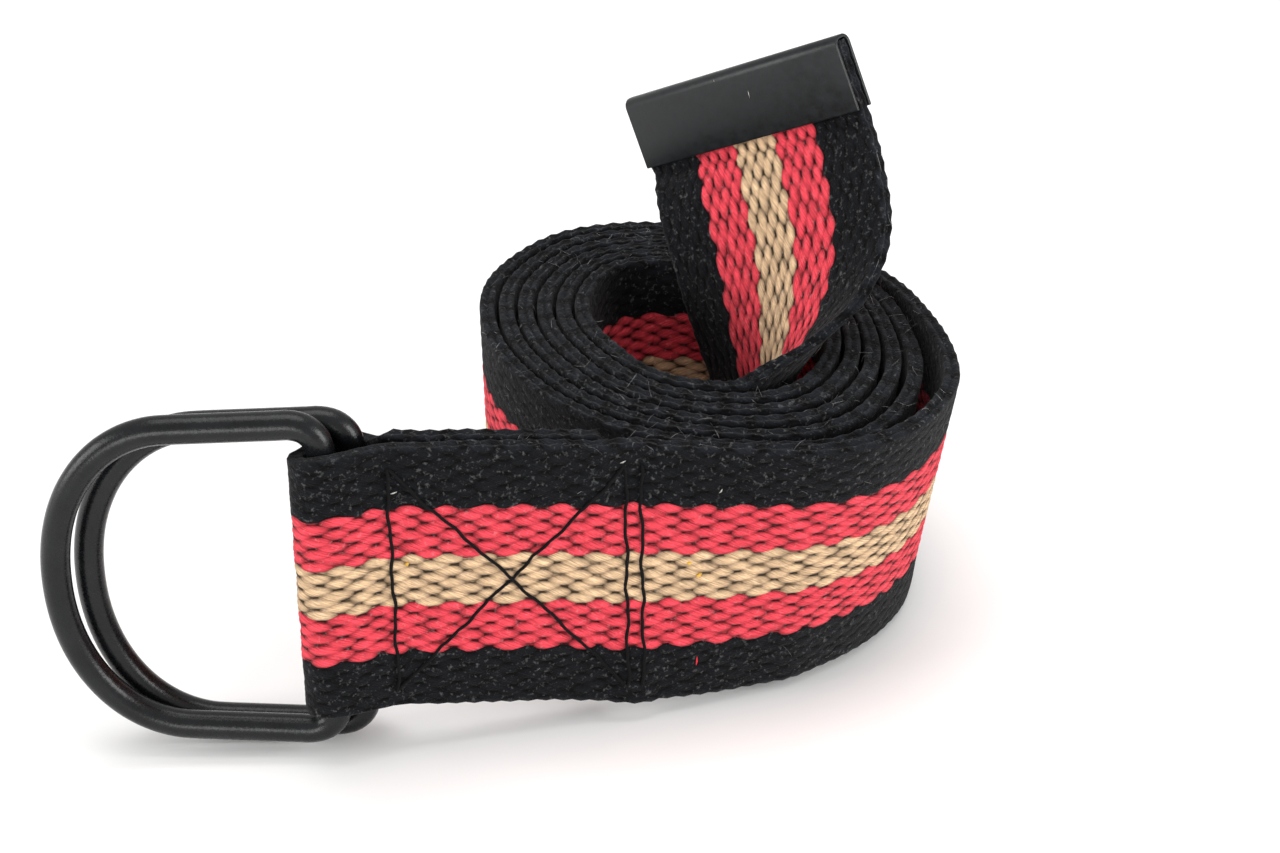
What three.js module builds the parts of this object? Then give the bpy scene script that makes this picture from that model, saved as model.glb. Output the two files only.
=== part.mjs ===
// Double ring belt: a striped webbing strap, coiled on its edge on a table.
// One end is folded round the straight bars of two D-rings, and a metal tip closes the other end.
// Millimetres, Z up. The origin is the middle of the footprint, on the table.
import * as THREE from "three";

// Strap
const strapWidth = 38;
const strapThickness = 2;
const strapBevel = 0.4;
const clearance = 0.25;

// Coil
const coilRadius = 34;
const lapCount = 6;
const lapGap = 0.65;
const lapClimb = 0.16;
const coilLean = 7.7;
const leanFade = 0.86;
const outerLift = 1.8;
const outerSlack = 2.4;

// Tail, from the front of the coil to the bar of the front ring
const tailLength = 47.1;
const tailSwing = 11.8;
const tailLean = 1;
const loopRaise = 7.7;
const loopDrop = 2.1;
const loopPinch = 0.6;
const foldLength = 35;

// D-rings
const ringHeight = 48.2;
const ringLength = 37.5;
const ringWire = 3.7;
const ringGap = 0.3;
const arcDepth = 18;
const arcHeight = 47;
const arcFullness = 2.1;
const cornerRadius = 3.6;
const frontRingRaise = 1.6;
const barStep = 3.2;

// Free end and its tip
const endRise = 28.7;
const tipLength = 10.4;
const tipWidth = 38.8;
const tipSheet = 0.5;
const tipGrip = 10;
const gripLead = 1.25;
const tipRoundness = 0.6;

// Fineness of the faceted surfaces
const stepsPerLap = 40;
const tailSteps = 2;
const rowSpacing = 2.2;
const ringSteps = 96;
const wireSides = 10;
const barPoints = 6;
const cornerPoints = 3;
const arcPoints = 18;
const tipSegments = 4;

const lapPitch = strapThickness + lapGap;
const foldPitch = strapThickness + clearance;
const bendRadius = ringWire / 2 + clearance + strapThickness / 2;

// A lap's outline every 30 degrees, counter-clockwise from the front as seen from above.
// radius: share of coilRadius. lean: how far the rim lies outside the foot, share of coilLean.
// pitch: share of lapPitch by which the next lap lies further in.
const lapShape = [
  { radius: 0.99, lean: 0.17, pitch: 1 },
  { radius: 0.935, lean: 1, pitch: 0.98 },
  { radius: 0.855, lean: 0.87, pitch: 0.92 },
  { radius: 0.87, lean: 0.18, pitch: 0.89 },
  { radius: 0.91, lean: 0, pitch: 0.91 },
  { radius: 0.965, lean: 0, pitch: 0.97 },
  { radius: 1.01, lean: 0, pitch: 1 },
  { radius: 1.06, lean: 0.3, pitch: 1 },
  { radius: 0.96, lean: 0.36, pitch: 1 },
  { radius: 0.905, lean: 0.04, pitch: 1 },
  { radius: 0.875, lean: 0, pitch: 1 },
  { radius: 0.93, lean: 0, pitch: 1 },
];

// The outer lap lies loosely round the others, and the tail lifts its start off the table.
// lift: share of outerLift. slack: share of outerSlack.
const looseLap = [
  { turn: 0, lift: 1, slack: 0.3 },
  { turn: 0.083, lift: 0.97, slack: 0.05 },
  { turn: 0.167, lift: 0.85, slack: 0.86 },
  { turn: 0.25, lift: 0.7, slack: 0.38 },
  { turn: 0.333, lift: 0.45, slack: 0 },
  { turn: 0.5, lift: 0.03, slack: 0 },
  { turn: 0.6, lift: 0, slack: 0 },
];

// The tail's front layer, from the coil to the fold.
// along: share of tailLength. out: share of tailSwing in front of the coil.
// raise: share of loopRaise. lean: share of tailLean.
// behind: how far back the folded layer lies, share of foldPitch.
const tailShape = [
  { along: 0.125, out: 0.255, raise: 0.34, lean: 0.5, behind: 1.3 },
  { along: 0.29, out: 0.415, raise: 0.475, lean: 0.5, behind: 1.25 },
  { along: 0.46, out: 0.575, raise: 0.66, lean: 0.9, behind: 1.15 },
  { along: 0.62, out: 0.735, raise: 0.8, lean: 1, behind: 1.15 },
  { along: 0.73, out: 0.855, raise: 0.87, lean: 0.9, behind: 1.15 },
  { along: 0.83, out: 0.965, raise: 0.95, lean: 0.6, behind: 1.4 },
];

// Round the ring bars, from the folded layer to the front layer.
// degrees: counter-clockwise from the right as seen from above, or "tilt", square to the line
// between the bars. drop: share of loopDrop by which the strap lies lower than in front.
const loopShape = [
  { bar: "back", degrees: 38, drop: 1 },
  { bar: "back", degrees: 90, drop: 1 },
  { bar: "back", degrees: "tilt", drop: 1 },
  { bar: "front", degrees: "tilt", drop: 0.8 },
  { bar: "front", degrees: 180, drop: 0.58 },
  { bar: "front", degrees: 225, drop: 0.3 },
  { bar: "front", degrees: 270, drop: 0 },
  { bar: "front", degrees: 300, drop: 0 },
];

// The free end, from the hole in the coil up over its back rim.
// right, back: shares of the hole's radius from the coil's centre. level: share of strapWidth.
// above: share of endRise. across: direction of the strap's width (right, back, up).
const endShape = [
  { right: 0.31, back: -0.84, level: 0.54, above: 0, across: [-0.07, -0.2, 0.98] },
  { right: 0.51, back: -0.51, level: 0.62, above: 0, across: [-0.03, -0.42, 0.91] },
  { right: 0.58, back: -0.11, level: 0.76, above: 0, across: [0.22, -0.63, 0.74] },
  { right: 0.62, back: 0.15, level: 0.97, above: 0, across: [0.52, -0.65, 0.55] },
  { right: 0.62, back: 0.36, level: 1, above: 0.29, across: [0.72, -0.54, 0.43] },
  { right: 0.49, back: 0.8, level: 1, above: 0.62, across: [0.77, -0.49, 0.42] },
];
const endTop = { right: 0.25, back: 1.14, level: 1, above: 1.03, across: [0.73, -0.52, 0.44] };
const endHeading = new THREE.Vector3(-0.33, 0.28, 0.9);

const webbingBlack = new THREE.MeshStandardMaterial({ color: 0x1e1f22, roughness: 0.95 });
const blackSteel = new THREE.MeshStandardMaterial({
  color: 0x26272a,
  roughness: 0.35,
  metalness: 0.6,
});
const satinBlack = new THREE.MeshStandardMaterial({
  color: 0x17181b,
  roughness: 0.4,
  metalness: 0.5,
});

const frontBar = new THREE.Vector2(-tailLength, -coilRadius - tailSwing);
const backBar = frontBar.clone().add(new THREE.Vector2(barStep, ringWire + ringGap));
const bars = { front: frontBar, back: backBar };

function closedSpline(values, place) {
  const count = values.length;
  const first = Math.floor(place);
  const f = place - first;
  const at = (k) => values[(first + k + count) % count];
  const [a, b, c, d] = [at(-1), at(0), at(1), at(2)];
  const bend = (2 * a - 5 * b + 4 * c - d) * f * f + (3 * b - a - 3 * c + d) * f * f * f;
  return 0.5 * (2 * b + (c - a) * f + bend);
}

function between(rows, key, column, place) {
  const last = rows.length - 1;
  const next = rows.findIndex((row) => row[key] > place);
  if (next === -1) return rows[last][column];
  if (next === 0) return rows[0][column];
  const [a, b] = [rows[next - 1], rows[next]];
  return a[column] + ((place - a[key]) / (b[key] - a[key])) * (b[column] - a[column]);
}

// A row is one crosswise line of the strap: its middle point, the unit direction of its width,
// and how much narrower the strap is there, pinched between a ring's corners.
function rowFromFoot(foot, leanX, leanY, pinch = 0) {
  const lean = Math.hypot(leanX, leanY);
  const upright = Math.sqrt((strapWidth - pinch) ** 2 - lean ** 2);
  const width = new THREE.Vector3(leanX, leanY, upright);
  return {
    middle: foot.clone().addScaledVector(width, 0.5),
    across: width.normalize(),
    pinch,
  };
}

function lapRadius(turn) {
  const place = (turn % 1) * lapShape.length;
  const radius = closedSpline(lapShape.map((row) => row.radius), place) * coilRadius;
  const pitch = closedSpline(lapShape.map((row) => row.pitch), place) * lapPitch;
  const slack = between(looseLap, "turn", "slack", turn) * outerSlack;
  return radius - pitch * turn + slack;
}

function coilRow(turn) {
  const place = (turn % 1) * lapShape.length;
  const angle = (turn - 0.25) * 2 * Math.PI;
  const radius = lapRadius(turn);
  const leans = lapShape.map((row) => row.lean);
  const lean = closedSpline(leans, place) * coilLean * leanFade ** turn;
  const lift = between(looseLap, "turn", "lift", turn) * outerLift;
  const climb = lapClimb * Math.max(turn - 0.75, 0);
  const outX = Math.cos(angle);
  const outY = Math.sin(angle);
  const foot = new THREE.Vector3(radius * outX, radius * outY, lift + climb);
  return rowFromFoot(foot, lean * outX, lean * outY);
}

// The tail takes up the outer lap's first few steps.
function coilRows() {
  const rows = [];
  const last = lapCount * stepsPerLap;
  for (let step = tailSteps; step <= last; step += 1) rows.push(coilRow(step / stepsPerLap));
  return rows;
}

// The tail's front layer, and the folded-back layer that lies behind it at the same stations.
function tailRow(shape, behind) {
  const foot = new THREE.Vector3(
    -shape.along * tailLength,
    -coilRadius - shape.out * tailSwing + behind,
    shape.raise * loopRaise,
  );
  return rowFromFoot(foot, 0, -shape.lean * tailLean);
}

function foldedRows() {
  const end = 1 - foldLength / tailLength - barStep / tailLength;
  const rows = tailShape.filter((shape) => shape.along > end);
  return rows.map((shape) => tailRow(shape, shape.behind * foldPitch));
}

function barRow(bar, degrees, raise) {
  const angle = THREE.MathUtils.degToRad(degrees);
  const foot = new THREE.Vector3(
    bar.x + bendRadius * Math.cos(angle),
    bar.y + bendRadius * Math.sin(angle),
    raise,
  );
  return rowFromFoot(foot, 0, 0, loopPinch);
}

function loopRows() {
  const tilt = THREE.MathUtils.radToDeg(Math.atan2(ringWire + ringGap, barStep)) + 90;
  return loopShape.map((shape) => {
    const degrees = shape.degrees === "tilt" ? tilt : shape.degrees;
    return barRow(bars[shape.bar], degrees, loopRaise - shape.drop * loopDrop);
  });
}

function endRows() {
  const hole = lapRadius(lapCount);
  const place = (shape) => ({
    middle: new THREE.Vector3(
      shape.right * hole,
      shape.back * hole,
      shape.level * strapWidth + shape.above * endRise,
    ),
    across: new THREE.Vector3(...shape.across).normalize(),
    pinch: 0,
  });
  const top = place(endTop);
  const heading = endHeading.clone();
  heading.addScaledVector(top.across, -heading.dot(top.across)).normalize();
  const gripRow = (share) => ({
    middle: top.middle.clone().addScaledVector(heading, -share * tipGrip),
    across: top.across,
    pinch: 0,
  });
  return { rows: [...endShape.map(place), gripRow(gripLead), gripRow(1), top], heading };
}

// Fills in rows along a smooth curve through the given ones.
function smoothRows(rows) {
  const middles = new THREE.CatmullRomCurve3(rows.map((row) => row.middle));
  const widths = new THREE.CatmullRomCurve3(rows.map((row) => row.across));
  const spans = rows.length - 1;
  const filled = [];
  for (let i = 0; i < spans; i += 1) {
    const length = rows[i].middle.distanceTo(rows[i + 1].middle);
    const parts = Math.max(1, Math.round(length / rowSpacing));
    for (let k = 0; k < parts; k += 1) {
      const share = k / parts;
      const place = (i + share) / spans;
      filled.push({
        middle: middles.getPoint(place),
        across: widths.getPoint(place).normalize(),
        pinch: THREE.MathUtils.lerp(rows[i].pinch, rows[i + 1].pinch, share),
      });
    }
  }
  filled.push(rows[spans]);
  return filled;
}

// One closed strip through the rows, with bevelled edges.
function stripGeometry(rows) {
  const half = strapWidth / 2;
  const deep = strapThickness / 2;
  const section = [
    [-half, -deep + strapBevel],
    [-half, deep - strapBevel],
    [-half + strapBevel, deep],
    [half - strapBevel, deep],
    [half, deep - strapBevel],
    [half, -deep + strapBevel],
    [half - strapBevel, -deep],
    [-half + strapBevel, -deep],
  ];
  const sides = section.length;
  const positions = [];
  rows.forEach((row, i) => {
    const ahead = rows[Math.min(i + 1, rows.length - 1)].middle;
    const behind = rows[Math.max(i - 1, 0)].middle;
    const travel = ahead.clone().sub(behind);
    const out = travel.cross(row.across).normalize();
    for (const [a, n] of section) {
      const inward = (Math.sign(a) * row.pinch) / 2;
      const point = row.middle.clone();
      point.addScaledVector(row.across, a - inward).addScaledVector(out, n);
      positions.push(point.x, point.y, point.z);
    }
  });
  const index = [];
  for (let i = 0; i + 1 < rows.length; i += 1) {
    for (let k = 0; k < sides; k += 1) {
      const a = i * sides + k;
      const b = i * sides + ((k + 1) % sides);
      index.push(a, b + sides, b, a, a + sides, b + sides);
    }
  }
  const cap = (rows.length - 1) * sides;
  for (let k = 1; k + 1 < sides; k += 1) {
    index.push(0, k, k + 1);
    index.push(cap, cap + k + 1, cap + k);
  }
  const geometry = new THREE.BufferGeometry();
  geometry.setAttribute("position", new THREE.Float32BufferAttribute(positions, 3));
  geometry.setIndex(index);
  geometry.computeVertexNormals();
  return geometry;
}

// A D-ring's wire centre line, upright in the XZ plane, its bar on the Z axis at x = 0.
function ringCurve() {
  const wire = ringWire / 2;
  const top = ringHeight / 2 - wire;
  const shoulder = arcHeight / 2 - wire;
  const far = ringLength - ringWire;
  const deep = arcDepth - wire;
  const points = [];
  for (let k = 0; k <= barPoints; k += 1) {
    const z = (top - cornerRadius) * ((2 * k) / barPoints - 1);
    points.push(new THREE.Vector3(0, 0, z));
  }
  const corner = (fromDegrees, z) => {
    for (let k = 1; k <= cornerPoints; k += 1) {
      const angle = THREE.MathUtils.degToRad(fromDegrees + (90 * k) / cornerPoints);
      points.push(
        new THREE.Vector3(
          cornerRadius * (Math.cos(angle) - 1),
          0,
          z + cornerRadius * Math.sin(angle),
        ),
      );
    }
  };
  corner(0, top - cornerRadius);
  for (let k = 0; k <= arcPoints; k += 1) {
    const angle = Math.PI / 2 + (Math.PI * k) / arcPoints;
    const side = Math.abs(Math.cos(angle)) ** (2 / arcFullness);
    const up = Math.sign(Math.sin(angle)) * Math.abs(Math.sin(angle)) ** (2 / arcFullness);
    points.push(new THREE.Vector3(-(far - deep) - side * deep, 0, up * shoulder));
  }
  points.push(new THREE.Vector3(-cornerRadius, 0, -top));
  corner(270, -top + cornerRadius);
  points.pop();
  return new THREE.CatmullRomCurve3(points, true, "centripetal");
}

function ringMesh(name, bar, raise) {
  const geometry = new THREE.TubeGeometry(ringCurve(), ringSteps, ringWire / 2, wireSides, true);
  const mesh = new THREE.Mesh(geometry, blackSteel);
  mesh.name = name;
  mesh.position.set(bar.x, bar.y, raise + ringHeight / 2);
  return mesh;
}

// The tip is a sheet folded over the strap's end: a U in section, open at both sides.
function tipMesh(end, heading) {
  const inside = strapThickness / 2 + clearance;
  const outside = inside + tipSheet;
  const round = outside * tipRoundness;
  const shape = new THREE.Shape();
  shape.moveTo(0, -outside);
  shape.lineTo(tipLength - round, -outside);
  shape.absarc(tipLength - round, -outside + round, round, -Math.PI / 2, 0, false);
  shape.absarc(tipLength - round, outside - round, round, 0, Math.PI / 2, false);
  shape.lineTo(0, outside);
  shape.lineTo(0, inside);
  shape.lineTo(tipLength - tipSheet, inside);
  shape.lineTo(tipLength - tipSheet, -inside);
  shape.lineTo(0, -inside);
  const geometry = new THREE.ExtrudeGeometry(shape, {
    depth: tipWidth,
    bevelEnabled: false,
    curveSegments: tipSegments,
  });
  geometry.translate(0, 0, -tipWidth / 2);
  const out = end.across.clone().cross(heading);
  const basis = new THREE.Matrix4().makeBasis(heading, out, end.across);
  const mesh = new THREE.Mesh(geometry, satinBlack);
  mesh.name = "end_tip";
  mesh.quaternion.setFromRotationMatrix(basis);
  const start = clearance + tipSheet - tipLength;
  mesh.position.copy(end.middle).addScaledVector(heading, start);
  return mesh;
}

function strapMesh(rows) {
  const mesh = new THREE.Mesh(stripGeometry(rows), webbingBlack);
  mesh.name = "webbing_strap";
  return mesh;
}

const coil = coilRows();
const front = tailShape.map((shape) => tailRow(shape, 0)).reverse();
const tail = smoothRows([...foldedRows(), ...loopRows(), ...front, coil[0]]);
const freeEnd = endRows();
const lastLap = coil[coil.length - 1];
const end = smoothRows([lastLap, ...freeEnd.rows]);
const rows = [...tail.slice(0, -1), ...coil.slice(0, -1), ...end];

const belt = new THREE.Group();
belt.add(strapMesh(rows));
belt.add(ringMesh("ring_front", frontBar, frontRingRaise));
belt.add(ringMesh("ring_back", backBar, 0));
belt.add(tipMesh(end[end.length - 1], freeEnd.heading));

const bounds = new THREE.Box3().setFromObject(belt, true);
const footprint = bounds.getCenter(new THREE.Vector3());
belt.position.set(-footprint.x, -footprint.y, -bounds.min.z);

export default belt;
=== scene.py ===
import math

import bmesh
import bpy
import numpy as np
from mathutils import Matrix, Vector


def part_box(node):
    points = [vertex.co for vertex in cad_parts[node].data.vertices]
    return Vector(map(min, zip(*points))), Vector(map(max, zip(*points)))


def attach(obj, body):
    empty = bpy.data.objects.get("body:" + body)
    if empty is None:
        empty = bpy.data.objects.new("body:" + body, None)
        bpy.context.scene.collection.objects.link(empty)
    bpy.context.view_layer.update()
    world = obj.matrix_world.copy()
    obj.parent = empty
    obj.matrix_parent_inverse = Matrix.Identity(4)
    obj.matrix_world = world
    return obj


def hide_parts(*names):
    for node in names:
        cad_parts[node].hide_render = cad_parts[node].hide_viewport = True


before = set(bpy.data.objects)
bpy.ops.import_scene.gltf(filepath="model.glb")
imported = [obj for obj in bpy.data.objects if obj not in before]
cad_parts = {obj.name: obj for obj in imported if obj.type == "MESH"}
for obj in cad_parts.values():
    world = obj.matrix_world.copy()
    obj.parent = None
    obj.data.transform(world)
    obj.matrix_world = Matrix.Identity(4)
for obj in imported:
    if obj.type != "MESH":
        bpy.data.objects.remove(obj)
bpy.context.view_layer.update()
metre = 0.001

# The photograph's camera: its place and nearest visible distance in metres, its tilt down from
# level in degrees, and its lens and sensor width in mm.
cameraSizes = {
    "x": 0.015865,
    "y": -0.30053,
    "z": 0.19321,
    "nearest": 0.01,
    "pitch": 29,
    "lens": 70.31,
    "sensor": 36,
}

# The belt's webbing, in mm. The floats are the warp threads that show between two crossings. They
# stand on the ground, which is half the thickness without them, and pressed is what it loses round
# the rings' bars. The weave's height goes from 0 to 1. Flat parts of the mesh lie at meanRise, and
# evenEdge is the share of the width beside each rim where the floats even out to it. Half a float
# is floatHalfShare of the period long, its arch has the power bluntness, and its half width grows
# from narrow at its ends to wide, in rows. Further from the middle than mattedFrom, as a share of
# the width, the fibres are matted and mattedRelief of the relief is left.
webbing = {
    "width": 38.0,
    "ground": 0.82,
    "relief": 0.34,
    "meanRise": 0.7,
    "evenEdge": 0.04,
    "rowCount": 42,
    "period": 4.73,
    "floatHalfShare": 0.4,
    "bluntness": 0.5,
    "narrow": 0.25,
    "wide": 0.88,
    "pressed": 0.1,
    "mattedFrom": 12 / 42,
    "mattedRelief": 0.45,
}
rowStep = webbing["width"] / webbing["rowCount"]

# The floats of a row wander along the strap, by a size in shares of the period. Turn is in radians
# a row and drift in radians a mm.
sways = [
    {"size": 0.08, "turn": 2.4, "drift": 0.19},
    {"size": 0.05, "turn": 5.3, "drift": 0.71},
]

# The rims, in mm: two lobes over the thickness, which swell by turns, each twice in a period. They
# bulge by a share more or less, their form has the power roundness, and the crown rounds off both
# together. Round the rings' bars they lose the share flattened. The whole section wanders a little
# across the strap, slowly and quickly, with these two in mm a radian.
rim = {
    "inset": 0.3,
    "bulge": 0.42,
    "wave": 0.4,
    "start": 0.6,
    "roundness": 0.6,
    "crown": 0.12,
    "flattened": 0.75,
    "wander": 0.05,
    "slowWander": 5.1,
    "quickWander": 2.3,
    "seed": 7,
}

# The stripes' colours, and the row at which each stripe starts, from the strap's lower edge.
stripeColours = {"black": "#0E0F12", "red": "#D6424E", "tan": "#C9A986"}
stripes = [(0, "black"), (9, "red"), (17, "tan"), (25, "red"), (33, "black")]

# How finely the strap is modelled: the step along it in mm, and parts across its faces and rims.
# Fine faces carry the weave's relief as geometry.
fineness = {"step": webbing["period"] / 4, "acrossFine": 168, "acrossCoarse": 8, "rimParts": 8}


def linear(code):
    values = [int(code[i : i + 2], 16) / 255 for i in (1, 3, 5)]
    return (*[v / 12.92 if v <= 0.04045 else ((v + 0.055) / 1.055) ** 2.4 for v in values], 1)


def newMaterial(name, roughness, specular=0.5):
    material = bpy.data.materials.new(name)
    material.use_nodes = True
    shader = material.node_tree.nodes["Principled BSDF"]
    shader.inputs["Roughness"].default_value = roughness
    shader.inputs["IOR"].default_value = 1.5
    shader.inputs["Specular IOR Level"].default_value = specular
    return material, shader


def addNode(material, kind, inputs, **settings):
    tree = material.node_tree
    node = tree.nodes.new(kind)
    for name, value in settings.items():
        setattr(node, name, value)
    for key, value in inputs.items():
        if isinstance(value, bpy.types.NodeSocket):
            tree.links.new(value, node.inputs[key])
        else:
            node.inputs[key].default_value = value
    return node


def calc(material, operation, *values):
    inputs = dict(enumerate(values))
    return addNode(material, "ShaderNodeMath", inputs, operation=operation).outputs[0]


def mixed(material, operation, first, second):
    inputs = {0: first, 1: second}
    return addNode(material, "ShaderNodeVectorMath", inputs, operation=operation).outputs[0]


def multiply(material, first, second):
    inputs = {0: 1.0, 6: first, 7: second}
    settings = {"data_type": "RGBA", "blend_type": "MULTIPLY"}
    return addNode(material, "ShaderNodeMix", inputs, **settings).outputs[2]


def ramp(material, factor, stops, interpolation="LINEAR"):
    node = addNode(material, "ShaderNodeValToRGB", {"Fac": factor})
    node.color_ramp.interpolation = interpolation
    elements = node.color_ramp.elements
    elements[0].position, elements[0].color = stops[0]
    elements[1].position, elements[1].color = stops[-1]
    for position, color in stops[1:-1]:
        elements.new(position).color = color
    return node.outputs["Color"]


def greyRamp(material, factor, *stops):
    return ramp(material, factor, [(position, (v, v, v, 1)) for position, v in stops])


def colourRamp(material, factor, *stops):
    return ramp(material, factor, [(position, linear(code)) for position, code in stops])


def objectPlace(material):
    return addNode(material, "ShaderNodeTexCoord", {}).outputs["Object"]


def stretched(material, x, y, scales):
    inputs = {
        "X": calc(material, "MULTIPLY", x, scales[0]),
        "Y": calc(material, "MULTIPLY", y, scales[1]),
    }
    return addNode(material, "ShaderNodeCombineXYZ", inputs).outputs[0]


def noise(material, vector, scale, detail=2.0, roughness=0.5):
    inputs = {"Vector": vector, "Scale": scale, "Detail": detail, "Roughness": roughness}
    return addNode(material, "ShaderNodeTexNoise", inputs).outputs[0]


def plug(material, shader, name, socket):
    material.node_tree.links.new(socket, shader.inputs[name])


def plugBump(material, shader, height, distance, strength=1.0):
    inputs = {"Height": height, "Distance": distance, "Strength": strength}
    plug(material, shader, "Normal", addNode(material, "ShaderNodeBump", inputs).outputs[0])


# A smooth curve through the values at the knots, at the places asked for.
def throughPoints(knots, values, places):
    slopes = np.gradient(values, knots, axis=0)
    i = np.clip(np.searchsorted(knots, places, side="right") - 1, 0, len(knots) - 2)
    span = (knots[i + 1] - knots[i])[:, None]
    t = (places - knots[i])[:, None] / span
    start = (2 * t**3 - 3 * t**2 + 1) * values[i] + (t**3 - 2 * t**2 + t) * span * slopes[i]
    end = (3 * t**2 - 2 * t**3) * values[i + 1] + (t**3 - t**2) * span * slopes[i + 1]
    return start + end


def unit(vectors):
    return vectors / np.linalg.norm(vectors, axis=-1, keepdims=True)


# The CAD strip is a chain of eight-cornered rings. Only the two end rings have corners with other
# than six neighbours, so they are found that way and the rest follow ring by ring, from the end
# that is further from a given point. Corners closer than mergeWithin, in mm, are one.
cadStrip = {"corners": 8, "neighbours": 6, "mergeWithin": 0.002}


def stripRings(node, farFrom):
    strip = bmesh.new()
    strip.from_mesh(node.data)
    bmesh.ops.remove_doubles(strip, verts=strip.verts, dist=cadStrip["mergeWithin"] * metre)
    strip.verts.ensure_lookup_table()
    points = np.array([v.co for v in strip.verts]) / metre
    near = [{e.other_vert(v).index for e in v.link_edges} for v in strip.verts]
    strip.free()
    ends = [i for i in range(len(points)) if len(near[i]) != cadStrip["neighbours"]]
    ends.sort(key=lambda i: -np.linalg.norm(points[i] - farFrom))
    ring = set(ends[: cadStrip["corners"]])
    seen = set(ring)
    rings = []
    while ring:
        rings.append(points[sorted(ring)])
        ring = {n for i in ring for n in near[i]} - seen
        seen |= ring
    return rings


# The CAD strip creases where the free end enters the tip. The cloth bends there in a curve. From
# and to are mm before the end, between which the path is smoothed, and fade is how gently that
# sets in and stops. Width and reach belong to the weights, in mm and in stations to either side.
crease = {"from": 34.0, "to": 10.2, "fade": 5.0, "width": 3.2, "reach": 9}


def eased(values, places):
    toEnd = places[-1] - places
    into = np.clip((crease["from"] - toEnd) / crease["fade"], 0, 1)
    outOf = np.clip((toEnd - crease["to"]) / crease["fade"], 0, 1)
    share = (into * outOf)[:, None]
    offsets = np.arange(-crease["reach"], crease["reach"] + 1) * fineness["step"]
    weights = np.exp(-((offsets / crease["width"]) ** 2) / 2)
    weights /= weights.sum()
    soft = np.stack([np.convolve(column, weights, "same") for column in values.T], axis=1)
    return values + share * (soft - values)


# The strap's stations, in mm: places along it, its middle, the directions across its width and out
# of its outer face, and half its width.
def strapPath():
    tipMiddle = sum(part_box("end_tip"), Vector()) / 2 / metre
    rings = stripRings(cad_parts["webbing_strap"], np.array(tipMiddle))
    middles = np.array([ring.mean(0) for ring in rings])
    across, halves = [], []
    before = np.array([0, 0, 1.0])
    for ring, middle in zip(rings, middles):
        direction = np.linalg.svd(ring - middle)[2][0]
        direction = direction * np.sign(direction @ before)
        before = direction
        across.append(direction)
        halves.append(np.abs((ring - middle) @ direction).max())
    lengths = np.linalg.norm(np.diff(middles, axis=0), axis=1)
    knots = np.concatenate([[0], np.cumsum(lengths)])
    values = np.hstack([middles, np.array(across), np.array(halves)[:, None]])
    places = np.append(np.arange(0, knots[-1], fineness["step"]), knots[-1])
    found = eased(throughPoints(knots, values, places), places)
    middle, across, half = found[:, :3], unit(found[:, 3:6]), found[:, 6]
    travel = unit(np.gradient(middle, places, axis=0))
    out = unit(np.cross(travel, across))
    return {"places": places, "middle": middle, "across": across, "half": half, "out": out}


# The fold round the rings' bars is the station furthest left in the strap's first quarter.
path = strapPath()
strapLength = path["places"][-1]
fold = int(np.argmin(path["middle"][: len(path["places"]) // 4, 0]))
turnPlace = path["places"][fold]
print("stage path: stations", len(path["places"]), "length mm", round(strapLength, 1))


# Height of the weave, from 0 in the gaps to 1 on a float, at places along the strap and heights
# from its lower edge, both in mm.
def weaveHeight(along, fromEdge):
    rows = fromEdge / rowStep
    base = np.floor(rows)
    height = np.zeros_like(rows)
    for k in (-1, 0, 1):
        row = base + k
        sway = sum(s["size"] * np.sin(row * s["turn"] + along * s["drift"]) for s in sways)
        phase = along / webbing["period"] + 0.5 * np.abs(np.fmod(row, 2)) + sway
        share = (phase - np.floor(phase) - 0.5) / webbing["floatHalfShare"]
        arch = np.clip(1 - share**2, 0, 1) ** webbing["bluntness"]
        reach = webbing["narrow"] + (webbing["wide"] - webbing["narrow"]) * arch
        side = (rows - row - 0.5) / reach
        dome = np.sqrt(np.clip(1 - side**2, 0, 1))
        height = np.maximum(height, arch * dome)
    return height


# Round the rings' bars the strap is pressed thin and its rims lie flat, so that the rings swing
# clear. This is 1 there and fades to 0 further along, with the distances from the fold in mm.
loopReach = {"full": 13.0, "fade": 9.0}


def pressedAt(place):
    distance = abs(place - turnPlace)
    return float(np.clip(1 - (distance - loopReach["full"]) / loopReach["fade"], 0, 1))


# How far a face lies from the strap's middle, in mm, at shares of the width.
def faceHeight(along, shares, fine):
    mean, relief = webbing["meanRise"], webbing["relief"]
    ground = webbing["ground"] - webbing["pressed"] * pressedAt(along)
    if not fine:
        return np.full_like(shares, ground + mean * relief)
    edge = np.clip(np.minimum(shares, 1 - shares) / webbing["evenEdge"], 0, 1)
    rise = weaveHeight(np.full_like(shares, along), webbing["width"] * shares)
    matted = np.abs(shares - 0.5) > webbing["mattedFrom"]
    rise = mean + (rise - mean) * np.where(matted, webbing["mattedRelief"], 1)
    return ground + relief * (rise * edge + mean * (1 - edge))


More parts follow.
